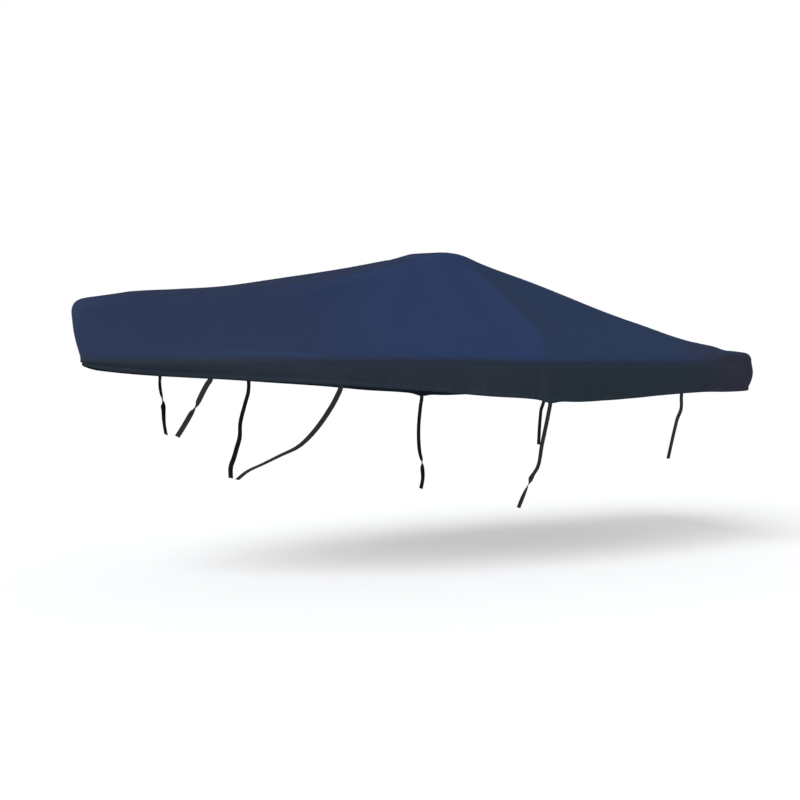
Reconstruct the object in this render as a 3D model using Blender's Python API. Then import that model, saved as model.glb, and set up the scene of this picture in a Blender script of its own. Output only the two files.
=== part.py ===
"""Fitted boat cover of thin cloth, in the shape in which it hangs when it is on, with its tie-down straps.

A large top panel rises from its side seam over the bow and a small flat peak, then runs down to the stern.
Three skirts hang from the seam to a gathered hem: port, starboard and stern. Four webbing straps a side
leave the hem.

Frame, in metres: +X aft, +Y starboard, +Z up. The origin is under the cloth at the middle of the peak.
The tables give the port half by three distances: aft of the bow's hem, out from the centre line, and up from
the level at which the sides turn in. The starboard half is its mirror, apart from the cloth's slow unevenness.
"""

import math
from collections import namedtuple
from functools import lru_cache

import bmesh
import bpy
import numpy as np
from mathutils import Quaternion, Vector

# Driving dimensions, in metres.
PEAK_AFT = 2.90            # the peak, aft of the bow
PEAK_UP = 0.8777           # underside of the cloth at the peak, above the level at which the sides turn in
CLOTH = 0.002              # thickness of the cloth
SEAM_GAP = 0.0003          # between two pieces sewn edge to edge
LIP = 0.008                # upright edge of each panel at the side seam
HEM_BAND = 0.030           # height of the hem's channel
HEM_SWELL = 0.0035         # how far the elastic in the channel swells it
SEAM_STERN = 5.14          # seam of a side skirt and the stern piece, aft of the bow
TUCK_CURVE = 1.3           # power of the curve by which a skirt comes in on its way down
CHANNEL_TUCK = 0.15        # further tuck across the channel, as a part of the hem's
LOW_SKIRT = 0.2            # height under which a skirt swings less
CHANNEL_SHARE = 0.6        # most of a low skirt's height that its channel takes

# How finely the cloth is built.
SPAN_STEP = 0.17           # between two cross-sections, about
RUN_STEPS = (1, 1, 3, 3)   # steps along a section: up the side, to the knee, to the ridge, to the spine
ROUND_STEPS = (3, 2, 3)    # steps in the round at the turn, the knee and the ridge
ROUND_SHARE = 0.48         # most of a run's length that one round takes
SKIRT_ROWS = (0.36, 0.72)          # rows of a skirt above the channel, as parts of its height there
CHANNEL_ROWS = (0.0, 0.5, 1.0)     # rows of the hem's channel, as parts of its height
EDGE_READINGS = 2000       # places at which the edge is read to find a distance along it
NEAR = 0.002               # half the stretch of edge over which its direction is read

# Unevenness of the hanging cloth: rows of waves, each with its size against the first.
SKIRT_WAVE = 0.0045        # sideways swing of the skirt's lower edge
TOP_WAVE = 0.0035          # slow swell of the top panel
TOP_WAVE_FOOT = 0.06       # height above the turn at which the swell starts
TOP_WAVE_RISE = 0.15       # rise from there to its full size
TOP_WAVE_REACH = 0.6       # distance from the peak at which it has its full size
Wave = namedtuple("Wave", "along across phase size")
SKIRT_WAVES = (Wave(9.0, 0.0, 0.6, 1.0), Wave(21.0, 0.0, 2.2, 0.6))
TOP_WAVES = (Wave(3.1, 2.3, 0.7, 1.0), Wave(5.3, -3.7, 1.9, 0.7))

# The edge of the cover, section by section from the bow to the middle of the stern. The side rises from the
# seam at seam_up to turn_up, where it turns in over turn_round. The skirt hangs from the seam to hem_up, its
# hem drawn in by tuck and its middle swelled by belly.
Edge = namedtuple("Edge", "aft out seam_up turn_up turn_round hem_up tuck belly")
EDGES = (
    Edge(-0.020, 0.000, -0.010, 0.016, 0.018, -0.047, 0.012, 0.000),
    Edge(0.012, 0.090, -0.014, 0.012, 0.018, -0.054, 0.012, 0.000),
    Edge(0.100, 0.190, -0.020, 0.006, 0.020, -0.076, 0.012, 0.001),
    Edge(0.270, 0.330, -0.026, 0.000, 0.020, -0.097, 0.014, 0.002),
    Edge(0.520, 0.500, -0.030, 0.000, 0.022, -0.120, 0.020, 0.003),
    Edge(1.020, 0.780, -0.030, 0.000, 0.022, -0.151, 0.024, 0.003),
    Edge(1.450, 0.920, -0.030, 0.000, 0.022, -0.175, 0.026, 0.004),
    Edge(1.800, 0.990, -0.030, 0.000, 0.022, -0.200, 0.028, 0.004),
    Edge(2.350, 1.050, -0.030, 0.000, 0.022, -0.239, 0.030, 0.004),
    Edge(2.840, 1.078, -0.030, 0.000, 0.022, -0.283, 0.032, 0.004),
    Edge(3.130, 1.082, -0.030, 0.000, 0.022, -0.301, 0.033, 0.004),
    Edge(3.360, 1.080, -0.030, 0.000, 0.022, -0.321, 0.036, 0.002),
    Edge(3.590, 1.078, -0.030, 0.000, 0.022, -0.336, 0.034, 0.005),
    Edge(3.950, 1.070, -0.030, 0.000, 0.022, -0.329, 0.034, 0.005),
    Edge(4.620, 1.045, -0.030, 0.000, 0.022, -0.292, 0.032, 0.005),
    Edge(5.060, 1.025, -0.030, 0.006, 0.022, -0.276, 0.032, 0.007),
    Edge(5.240, 1.016, -0.030, 0.046, 0.030, -0.279, 0.030, 0.010),
    Edge(5.478, 0.990, -0.030, 0.050, 0.070, -0.274, 0.026, 0.018),
    Edge(5.586, 0.930, -0.030, 0.051, 0.077, -0.270, 0.024, 0.020),
    Edge(5.620, 0.828, -0.030, 0.056, 0.078, -0.272, 0.026, 0.018),
    Edge(5.628, 0.450, -0.030, 0.060, 0.078, -0.278, 0.030, 0.010),
    Edge(5.630, 0.000, -0.030, 0.060, 0.078, -0.280, 0.032, 0.008),
)

# The top panel above the turn, for the same sections: over a knee and a ridge to the spine on the centre line.
# side_sag and top_sag are how far the cloth hangs in on its way to the ridge and to the spine.
Crest = namedtuple(
    "Crest",
    "knee_aft knee_out knee_up knee_round ridge_aft ridge_out ridge_up ridge_round"
    " spine_aft spine_up side_sag top_sag",
)
CRESTS = (
    Crest(-0.066, 0.000, 0.180, 0.08, -0.092, 0.000, 0.434, 0.11, 0.340, 0.501, 0.000, 0.000),
    Crest(-0.034, 0.080, 0.180, 0.08, -0.062, 0.100, 0.438, 0.11, 0.370, 0.503, 0.000, 0.000),
    Crest(0.056, 0.170, 0.180, 0.08, 0.020, 0.180, 0.446, 0.10, 0.430, 0.508, 0.002, 0.000),
    Crest(0.240, 0.300, 0.150, 0.08, 0.200, 0.270, 0.452, 0.08, 0.520, 0.514, 0.006, 0.000),
    Crest(0.510, 0.460, 0.090, 0.06, 0.500, 0.370, 0.462, 0.10, 0.680, 0.525, 0.010, 0.000),
    Crest(1.030, 0.700, 0.060, 0.08, 1.080, 0.490, 0.508, 0.12, 1.160, 0.572, 0.016, 0.006),
    Crest(1.500, 0.830, 0.070, 0.10, 1.740, 0.470, 0.614, 0.12, 1.780, 0.676, 0.020, 0.012),
    Crest(1.870, 0.890, 0.100, 0.12, 2.360, 0.400, 0.756, 0.10, 2.370, 0.794, 0.004, 0.006),
    Crest(2.390, 0.950, 0.130, 0.12, 2.560, 0.370, 0.799, 0.08, 2.565, 0.823, 0.018, 0.002),
    Crest(2.850, 0.950, 0.150, 0.12, 2.720, 0.350, 0.853, 0.07, 2.720, 0.873, 0.016, 0.000),
    Crest(3.150, 0.935, 0.170, 0.10, 2.870, 0.345, 0.864, 0.06, 2.870, 0.880, 0.020, 0.000),
    Crest(3.410, 0.940, 0.195, 0.06, 3.005, 0.350, 0.847, 0.06, 3.000, 0.866, -0.006, 0.000),
    Crest(3.620, 0.960, 0.130, 0.08, 3.180, 0.362, 0.786, 0.08, 3.180, 0.808, 0.018, 0.006),
    Crest(3.960, 0.960, 0.110, 0.10, 3.700, 0.455, 0.614, 0.10, 3.700, 0.633, 0.018, 0.014),
    Crest(4.620, 0.980, 0.060, 0.06, 4.500, 0.660, 0.331, 0.10, 4.500, 0.343, 0.012, 0.018),
    Crest(5.060, 0.990, 0.040, 0.03, 4.980, 0.830, 0.166, 0.09, 4.980, 0.173, 0.004, 0.012),
    Crest(5.210, 0.955, 0.066, 0.03, 5.190, 0.885, 0.117, 0.05, 5.190, 0.120, 0.000, 0.004),
    Crest(5.390, 0.880, 0.074, 0.03, 5.330, 0.820, 0.078, 0.05, 5.310, 0.084, 0.000, 0.002),
    Crest(5.460, 0.810, 0.074, 0.03, 5.390, 0.750, 0.078, 0.05, 5.350, 0.084, 0.000, 0.002),
    Crest(5.475, 0.740, 0.074, 0.03, 5.400, 0.690, 0.079, 0.05, 5.360, 0.084, 0.000, 0.002),
    Crest(5.485, 0.440, 0.076, 0.03, 5.410, 0.430, 0.082, 0.05, 5.370, 0.086, 0.000, 0.002),
    Crest(5.488, 0.000, 0.077, 0.03, 5.414, 0.000, 0.084, 0.05, 5.374, 0.087, 0.000, 0.000),
)

# Webbing of the straps.
WEB_WIDTH = 0.038
WEB_THICK = 0.0018
WEB_TUCK = 0.055           # length of each strap behind the skirt, above the hem
WEB_CLEAR = 0.0010         # between the webbing and the skirt it is sewn to, which is slightly twisted there
WEB_STRAIGHT = 0.005       # length below the hem before the strap turns towards its route
WEB_STEP = 0.026           # between two cross-sections of the webbing
TUCK_POINTS = 4            # points of a strap's path before its route: three behind the skirt, one below it
STRAP_BED = 0.023          # half the flat stretch of skirt that a strap is sewn to
BOW_BED = 0.008            # the like on either side of the bow's seam
HEM_PULL = {"3": 0.020}    # how far a strap pulls the hem down
HEM_PULL_REACH = 0.075

# Each strap leaves the hem aft of the bow by its first number and runs on to its free end by the same three
# distances. under is how far its face tips downwards, and turn is the webbing's turn about its own length,
# in degrees, where it lies twisted.
Route = namedtuple("Route", "aft out up under turn")
STRAPS = {
    "1": (0.735, (
        Route(0.738, 0.578, -0.176, 0.1, 0), Route(0.726, 0.530, -0.225, 0.3, 0),
        Route(0.712, 0.430, -0.318, 0.4, 35), Route(0.700, 0.365, -0.372, 0.5, 140),
        Route(0.672, 0.255, -0.482, 0.5, 180), Route(0.652, 0.140, -0.574, 0.5, 180),
    )),
    "2": (1.616, (
        Route(1.604, 0.890, -0.277, 0.0, 0), Route(1.559, 0.850, -0.379, 0.1, 0),
        Route(1.484, 0.760, -0.527, 0.3, 0), Route(1.425, 0.620, -0.640, 0.7, 0),
        Route(1.340, 0.460, -0.718, 1.2, 0), Route(1.264, 0.320, -0.786, 1.5, 0),
        Route(1.185, 0.180, -0.854, 1.5, 0), Route(1.145, 0.070, -0.923, 1.5, 0),
    )),
    "3": (3.378, (
        Route(3.363, 1.030, -0.430, 0.0, 0), Route(3.325, 1.000, -0.669, 0.0, 0),
        Route(3.312, 0.955, -0.855, 0.1, 0), Route(3.300, 0.900, -0.925, 0.2, 20),
        Route(3.290, 0.868, -0.985, 0.2, 120), Route(3.270, 0.820, -1.090, 0.2, 180),
        Route(3.240, 0.800, -1.181, 0.2, 180),
    )),
    "4": (4.743, (
        Route(4.727, 1.000, -0.430, 0.0, 0), Route(4.699, 0.995, -0.490, 0.0, 0),
        Route(4.681, 0.985, -0.572, 0.0, 0), Route(4.638, 0.950, -0.833, 0.1, 0),
    )),
}

NAVY = (0.020, 0.034, 0.085, 1.0)
BLACK = (0.017, 0.018, 0.017, 1.0)


def clear_scene():
    for old in list(bpy.data.objects):
        bpy.data.objects.remove(old, do_unlink=True)


def material(name, colour, roughness):
    made = bpy.data.materials.new(name)
    made.use_nodes = True
    shader = made.node_tree.nodes["Principled BSDF"]
    shader.inputs["Base Color"].default_value = colour
    shader.inputs["Roughness"].default_value = roughness
    shader.inputs["Metallic"].default_value = 0.0
    return made


def place(aft, out, up):
    """A point of the port half in the part's frame."""
    return np.array([aft - PEAK_AFT, -out, up - PEAK_UP])


def mirrored(point):
    return np.array([point[0], -point[1], point[2]])


def spline(knots, values, at):
    """Smooth curve through values at the knots, read at each parameter in at."""
    knots, values = np.asarray(knots, float), np.asarray(values, float)
    steps = np.diff(knots)
    slopes = np.diff(values, axis=0) / steps[:, None]
    before, after = steps[:-1, None], steps[1:, None]
    inner = (slopes[:-1] * after + slopes[1:] * before) / (before + after)
    tangents = np.vstack([slopes[:1], inner, slopes[-1:]])
    span = np.clip(np.searchsorted(knots, at, side="right") - 1, 0, len(steps) - 1)
    h = steps[span][:, None]
    t = (at - knots[span])[:, None] / h
    start, end = values[span], values[span + 1]
    return (
        (2 * t**3 - 3 * t**2 + 1) * start + (t**3 - 2 * t**2 + t) * h * tangents[span]
        + (3 * t**2 - 2 * t**3) * end + (t**3 - t**2) * h * tangents[span + 1]
    )


def wave(rows, along, across=0.0):
    return sum(row.size * math.sin(row.along * along + row.across * across + row.phase) for row in rows)


@lru_cache(maxsize=None)
def edge_knots():
    """Distance along the edge from the bow to each row of the tables."""
    plan = np.array([(edge.aft, edge.out) for edge in EDGES])
    return np.concatenate([[0.0], np.cumsum(np.linalg.norm(np.diff(plan, axis=0), axis=1))])


def sections(at):
    """The tables' rows at each distance along the edge. The tables go on past both ends as their own mirror,
    so the cloth crosses the centre line squarely at the bow and the stern."""
    knots = edge_knots()
    fields = Edge._fields + Crest._fields
    table = np.hstack([np.array(EDGES), np.array(CRESTS)])
    outs = [fields.index(name) for name in ("out", "knee_out", "ridge_out")]
    spine = [fields.index(name) for name in ("spine_aft", "spine_up")]
    bow, stern = table[1].copy(), table[-2].copy()
    bow[outs] *= -1
    stern[outs] *= -1
    bow[spine] = 2 * table[0, spine] - table[1, spine]
    stern[spine] = 2 * table[-1, spine] - table[-2, spine]
    all_knots = np.concatenate([[-knots[1]], knots, [2 * knots[-1] - knots[-2]]])
    rows = spline(all_knots, np.vstack([bow, table, stern]), np.asarray(at, float))
    count = len(Edge._fields)
    return [(Edge(*row[:count]), Crest(*row[count:])) for row in rows]


@lru_cache(maxsize=None)
def distance_of(aft):
    """Distance along the edge at which it is this far aft of the bow."""
    at = np.linspace(0.0, edge_knots()[-1], EDGE_READINGS)
    return float(np.interp(aft, [edge.aft for edge, _ in sections(at)], at))


@lru_cache(maxsize=None)
def bed_middles():
    """Distances along the edge of the middle of each strap's bed and of the stern seam's."""
    return [distance_of(aft) for aft in [SEAM_STERN] + [aft for aft, _ in STRAPS.values()]]


def flat_beds():
    """Distances along the edge of both sides of each bed, and of the bow seam's."""
    return [BOW_BED] + [middle + side * STRAP_BED for middle in bed_middles() for side in (-1, 1)]


def section_distances(start, end):
    """Distances along the edge at which sections are built, from one distance to another."""
    knots = edge_knots()
    rows = []
    for a, b in zip(knots, knots[1:]):
        steps = max(2, round((b - a) / SPAN_STEP))
        rows += [a + (b - a) * k / steps for k in range(steps)]
    beds = flat_beds()
    rows = [d for d in rows if min(abs(d - bed) for bed in beds) > STRAP_BED]
    inner = [d for d in sorted(rows + beds) if start + BOW_BED / 2 < d < end - BOW_BED / 2]
    return [start] + inner + [end]


def rounded_path(corners, rounds, sags):
    """Points along straight runs between corners, each inner corner rounded over its reach."""
    lengths = [np.linalg.norm(b - a) for a, b in zip(corners, corners[1:])]
    cuts = [0.0]
    for i, reach in enumerate(rounds):
        before = lengths[0] - LIP if i == 0 else ROUND_SHARE * lengths[i]
        cuts.append(min(reach, before, ROUND_SHARE * lengths[i + 1]))
    cuts.append(0.0)
    points = [corners[0]]
    for i, (a, b) in enumerate(zip(corners, corners[1:])):
        along = (b - a) / lengths[i]
        start, end = a + along * cuts[i], b - along * cuts[i + 1]
        for k in range(1, RUN_STEPS[i] + 1):
            t = k / RUN_STEPS[i]
            points.append(start + (end - start) * t - np.array([0.0, 0.0, 4.0 * sags[i] * t * (1.0 - t)]))
        if i < len(rounds):
            leave = b + (corners[i + 2] - b) / lengths[i + 1] * cuts[i + 1]
            for k in range(1, ROUND_STEPS[i] + 1):
                t = k / ROUND_STEPS[i]
                points.append((1 - t) ** 2 * end + 2 * t * (1 - t) * b + t**2 * leave)
    return points


def top_section(edge, crest):
    """One section of the top panel from the side seam to the spine."""
    corners = (
        place(edge.aft, edge.out, edge.seam_up + SEAM_GAP / 2),
        place(edge.aft, edge.out, edge.turn_up),
        place(crest.knee_aft, crest.knee_out, crest.knee_up),
        place(crest.ridge_aft, crest.ridge_out, crest.ridge_up),
        place(crest.spine_aft, 0.0, crest.spine_up),
    )
    rounds = (edge.turn_round, crest.knee_round, crest.ridge_round)
    return rounded_path(corners, rounds, (0.0, 0.0, crest.side_sag, crest.top_sag))


def swell(point):
    """Slow unevenness of the top panel, none near the seam and on the peak."""
    x, y, z = point
    rise = min(1.0, max(0.0, (z + PEAK_UP - TOP_WAVE_FOOT) / TOP_WAVE_RISE))
    return np.array([0.0, 0.0, TOP_WAVE * rise * min(1.0, abs(x) / TOP_WAVE_REACH) * wave(TOP_WAVES, x, y)])


def cloth_object(name, points, faces, finish):
    """An open surface made solid, with half the cloth's thickness to either side of it."""
    mesh = bpy.data.meshes.new(name)
    made = bmesh.new()
    corners = [made.verts.new(Vector(point)) for point in points]
    for face in faces:
        made.faces.new([corners[i] for i in face])
    bmesh.ops.recalc_face_normals(made, faces=made.faces)
    made.to_mesh(mesh)
    made.free()
    mesh.materials.append(finish)
    mesh.shade_smooth()
    obj = bpy.data.objects.new(name, mesh)
    bpy.context.collection.objects.link(obj)
    solid = obj.modifiers.new("cloth", "SOLIDIFY")
    solid.thickness = CLOTH
    solid.offset = 0.0
    solid.use_even_offset = True


def top_panel(finish):
    """Both halves share their points on the centre line: the spine, and the bow's and the stern's sections."""
    columns = [top_section(*rows) for rows in sections(section_distances(0.0, edge_knots()[-1]))]
    last_column, last_row = len(columns) - 1, len(columns[0]) - 1
    points, faces, index = [], [], {}

    def corner(side, column, row):
        on_centre = row == last_row or column in (0, last_column)
        key = (0 if on_centre else side, column, row)
        if key not in index:
            x, y, z = columns[column][row]
            point = np.array([x, 0.0 if on_centre else side * y, z])
            index[key] = len(points)
            points.append(point + swell(point))
        return index[key]

    for side in (1, -1):
        for c in range(last_column):
            for r in range(last_row):
                ring = [corner(side, *at) for at in ((c, r), (c + 1, r), (c + 1, r + 1), (c, r + 1))]
                faces.append(ring[::side])
    cloth_object("top_panel", points, faces, finish)


def skirt_swing(distance):
    """Sideways swing of the hem at a distance along the edge, the same all over a bed."""
    for middle in bed_middles():
        if abs(distance - middle) < STRAP_BED + SEAM_GAP:
            distance = middle
    return SKIRT_WAVE * wave(SKIRT_WAVES, distance)


def skirt_section(edge, outward, distance):
    """One section of a skirt from the seam to the hem, drawn in by its tuck and swelled by the elastic."""
    seam = place(edge.aft, edge.out, edge.seam_up - SEAM_GAP / 2)
    pulls = [
        pull * math.exp(-(((distance - distance_of(STRAPS[name][0])) / HEM_PULL_REACH) ** 2))
        for name, pull in HEM_PULL.items()
    ]
    height = edge.seam_up - edge.hem_up + sum(pulls)
    body = height - min(HEM_BAND, CHANNEL_SHARE * height)
    swing = skirt_swing(distance) * min(1.0, height / LOW_SKIRT)
    points = [seam, place(edge.aft, edge.out, edge.seam_up - LIP)]
    for part in SKIRT_ROWS:
        inward = edge.tuck * part**TUCK_CURVE + swing * part**2 - edge.belly * math.sin(math.pi * part)
        points.append(seam - np.array([0.0, 0.0, LIP + (body - LIP) * part]) - outward * inward)
    for part in CHANNEL_ROWS:
        inward = edge.tuck * (1.0 + CHANNEL_TUCK * part) + swing - HEM_SWELL * math.sin(math.pi * part)
        down = body + (height - body) * part
        points.append(seam - np.array([0.0, 0.0, down]) - outward * inward)
    return points


def skirt_columns(distances):
    """Sections of the port half's skirt at these distances along the edge."""
    rows = [edge for edge, _ in sections(distances)]
    columns = []
    for edge, distance in zip(rows, distances):
        (before, _), (after, _) = sections([distance - NEAR, distance + NEAR])
        along = Vector((after.aft - before.aft, before.out - after.out, 0.0)).normalized()
        columns.append(skirt_section(edge, np.array([along.y, -along.x, 0.0]), distance))
    return columns


def skirt(name, columns, finish):
    points = [point for column in columns for point in column]
    count = len(columns[0])
    faces = [
        (c * count + r, (c + 1) * count + r, (c + 1) * count + r + 1, c * count + r + 1)
        for c in range(len(columns) - 1)
        for r in range(count - 1)
    ]
    cloth_object(name, points, faces, finish)


def side_distances():
    return section_distances(SEAM_GAP / 2, distance_of(SEAM_STERN) - SEAM_GAP / 2)


def skirts(finish):
    """Two side skirts that meet at the bow, and the stern piece between them round both stern corners."""
    side = skirt_columns(side_distances())
    stern = skirt_columns(section_distances(distance_of(SEAM_STERN) + SEAM_GAP / 2, edge_knots()[-1]))
    skirt("skirt_port", side, finish)
    skirt("skirt_starboard", [[mirrored(point) for point in column] for column in side], finish)
    far = [[mirrored(point) for point in column] for column in reversed(stern[:-1])]
    skirt("skirt_stern", stern + far, finish)


def strap_path(aft, route):
    """Points of a strap's middle from its tuck behind the skirt to its free end, how far its face tips and
    turns at each, and the way the skirt faces there."""
    bed = distance_of(aft)
    first, last = np.array(skirt_columns([bed - STRAP_BED, bed + STRAP_BED]))
    middle = (first + last) / 2
    along = last[-1] - first[-1]
    facing = np.array([along[1], -along[0], 0.0]) / np.linalg.norm(along[:2])
    behind = middle - facing * (CLOTH / 2 + WEB_CLEAR + WEB_THICK / 2)
    hem, channel, above = behind[-1], behind[-len(CHANNEL_ROWS)], behind[-len(CHANNEL_ROWS) - 1]
    rise, fall = above - channel, hem - channel
    top = channel + rise * min(1.0, (WEB_TUCK - HEM_BAND) / np.linalg.norm(rise))
    below = hem + fall / np.linalg.norm(fall) * WEB_STRAIGHT
    points = [top, channel, hem, below] + [place(row.aft, row.out, row.up) for row in route]
    angles = [(0.0, 0.0)] * TUCK_POINTS + [(row.under, row.turn) for row in route]
    return np.array(points), np.array(angles), facing


def strap(name, side, finish):
    """A strap as one flat strip of webbing swept along its path, on the port side or mirrored to starboard."""
    aft, route = STRAPS[name.rsplit("_", 1)[1]]
    points, angles, facing = strap_path(aft, route)
    knots = np.concatenate([[0.0], np.cumsum(np.linalg.norm(np.diff(points, axis=0), axis=1))])
    hanging = knots[-1] - knots[TUCK_POINTS - 1]
    at = np.concatenate([
        knots[:TUCK_POINTS - 1], np.linspace(knots[TUCK_POINTS - 1], knots[-1], math.ceil(hanging / WEB_STEP) + 1),
    ])
    centres = spline(knots, points, at)
    mesh = bpy.data.meshes.new(name)
    made = bmesh.new()
    rings = []
    ways = np.gradient(centres, axis=0)
    for centre, way, (under, turn) in zip(centres, ways, spline(knots, angles, at)):
        way = Vector(way).normalized()
        width = way.cross(Vector(facing) + Vector((0.0, 0.0, -under))).normalized()
        width = Quaternion(way, math.radians(turn)) @ width
        face = width.cross(way)
        ring = []
        for across, through in ((-1, -1), (1, -1), (1, 1), (-1, 1)):
            corner = Vector(centre) + width * across * WEB_WIDTH / 2 + face * through * WEB_THICK / 2
            ring.append(made.verts.new((corner.x, side * corner.y, corner.z)))
        rings.append(ring)
    for before, after in zip(rings, rings[1:]):
        for i in range(4):
            made.faces.new((before[i], before[(i + 1) % 4], after[(i + 1) % 4], after[i]))
    made.faces.new(rings[0])
    made.faces.new(rings[-1])
    bmesh.ops.recalc_face_normals(made, faces=made.faces)
    made.to_mesh(mesh)
    made.free()
    mesh.materials.append(finish)
    bpy.context.collection.objects.link(bpy.data.objects.new(name, mesh))


def main():
    clear_scene()
    cloth = material("navy_cloth", NAVY, 0.75)
    webbing = material("black_webbing", BLACK, 0.7)
    top_panel(cloth)
    skirts(cloth)
    for number in STRAPS:
        strap("strap_port_" + number, 1, webbing)
        strap("strap_starboard_" + number, -1, webbing)


main()
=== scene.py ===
"""Looks of the fitted boat cover: fine cloth with its seams, creases and gathered hem, and woven straps.

The cloth is built from the same tables as its solids, in finer steps, and then gets its creases along its own
surface. Lengths are in metres, in the part's frame: +X aft, +Y starboard, +Z up, origin under the peak.
"""
import math
from collections import namedtuple
from functools import lru_cache

import bmesh
import bpy
import numpy as np
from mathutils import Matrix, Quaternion, Vector, noise

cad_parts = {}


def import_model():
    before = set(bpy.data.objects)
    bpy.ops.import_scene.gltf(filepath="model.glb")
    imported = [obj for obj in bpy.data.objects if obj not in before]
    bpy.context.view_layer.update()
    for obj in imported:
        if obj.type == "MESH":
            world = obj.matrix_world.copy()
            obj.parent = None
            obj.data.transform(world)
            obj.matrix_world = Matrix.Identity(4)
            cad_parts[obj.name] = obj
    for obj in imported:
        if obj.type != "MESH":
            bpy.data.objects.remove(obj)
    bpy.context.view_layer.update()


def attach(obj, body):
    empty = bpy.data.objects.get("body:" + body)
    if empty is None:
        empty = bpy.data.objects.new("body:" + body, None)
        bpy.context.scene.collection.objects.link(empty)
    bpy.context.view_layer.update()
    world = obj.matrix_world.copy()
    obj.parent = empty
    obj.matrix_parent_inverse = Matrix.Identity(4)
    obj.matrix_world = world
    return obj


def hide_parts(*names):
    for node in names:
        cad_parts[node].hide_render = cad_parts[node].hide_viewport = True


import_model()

# ---- the cover's shape, as its solids have it

PEAK_AFT = 2.90  # the peak, aft of the bow
PEAK_UP = 0.8777  # underside of the cloth at the peak, above the level at which the sides turn in
SEAM_GAP = 0.0003  # between two pieces sewn edge to edge
LIP = 0.008  # upright edge of each panel at the side seam
HEM_BAND = 0.030  # height of the hem's channel
HEM_SWELL = 0.0035  # how far the elastic in the channel swells it
SEAM_STERN = 5.14  # seam of a side skirt and the stern piece, aft of the bow
TUCK_CURVE = 1.3  # power of the curve by which a skirt comes in on its way down
CHANNEL_TUCK = 0.15  # further tuck across the channel, as a part of the hem's
LOW_SKIRT = 0.2  # height under which a skirt swings less
CHANNEL_SHARE = 0.6  # most of a low skirt's height that its channel takes
ROUND_SHARE = 0.48  # most of a run's length that one round takes
EDGE_READINGS = 2000  # places at which the edge is read to find a distance along it
NEAR = 0.002  # half the stretch of edge over which its direction is read

SKIRT_WAVE = 0.0045  # sideways swing of the skirt's lower edge
TOP_WAVE = 0.0035  # slow swell of the top panel
TOP_WAVE_FOOT = 0.06  # height above the turn at which the swell starts
TOP_WAVE_RISE = 0.15  # rise from there to its full size
TOP_WAVE_REACH = 0.6  # distance from the peak at which it has its full size
Wave = namedtuple("Wave", "along across phase size")
SKIRT_WAVES = (Wave(9.0, 0.0, 0.6, 1.0), Wave(21.0, 0.0, 2.2, 0.6))
TOP_WAVES = (Wave(3.1, 2.3, 0.7, 1.0), Wave(5.3, -3.7, 1.9, 0.7))

# The edge of the cover, section by section from the bow to the middle of the stern.
Edge = namedtuple("Edge", "aft out seam_up turn_up turn_round hem_up tuck belly")
EDGES = [Edge(*row) for row in (
    (-0.020, 0.000, -0.010, 0.016, 0.018, -0.047, 0.012, 0.000),
    (0.012, 0.090, -0.014, 0.012, 0.018, -0.054, 0.012, 0.000),
    (0.100, 0.190, -0.020, 0.006, 0.020, -0.076, 0.012, 0.001),
    (0.270, 0.330, -0.026, 0.000, 0.020, -0.097, 0.014, 0.002),
    (0.520, 0.500, -0.030, 0.000, 0.022, -0.120, 0.020, 0.003),
    (1.020, 0.780, -0.030, 0.000, 0.022, -0.151, 0.024, 0.003),
    (1.450, 0.920, -0.030, 0.000, 0.022, -0.175, 0.026, 0.004),
    (1.800, 0.990, -0.030, 0.000, 0.022, -0.200, 0.028, 0.004),
    (2.350, 1.050, -0.030, 0.000, 0.022, -0.239, 0.030, 0.004),
    (2.840, 1.078, -0.030, 0.000, 0.022, -0.283, 0.032, 0.004),
    (3.130, 1.082, -0.030, 0.000, 0.022, -0.301, 0.033, 0.004),
    (3.360, 1.080, -0.030, 0.000, 0.022, -0.321, 0.036, 0.002),
    (3.590, 1.078, -0.030, 0.000, 0.022, -0.336, 0.034, 0.005),
    (3.950, 1.070, -0.030, 0.000, 0.022, -0.329, 0.034, 0.005),
    (4.620, 1.045, -0.030, 0.000, 0.022, -0.292, 0.032, 0.005),
    (5.060, 1.025, -0.030, 0.006, 0.022, -0.276, 0.032, 0.007),
    (5.240, 1.016, -0.030, 0.046, 0.030, -0.279, 0.030, 0.010),
    (5.478, 0.990, -0.030, 0.050, 0.070, -0.274, 0.026, 0.018),
    (5.586, 0.930, -0.030, 0.051, 0.077, -0.270, 0.024, 0.020),
    (5.620, 0.828, -0.030, 0.056, 0.078, -0.272, 0.026, 0.018),
    (5.628, 0.450, -0.030, 0.060, 0.078, -0.278, 0.030, 0.010),
    (5.630, 0.000, -0.030, 0.060, 0.078, -0.280, 0.032, 0.008),
)]

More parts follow.
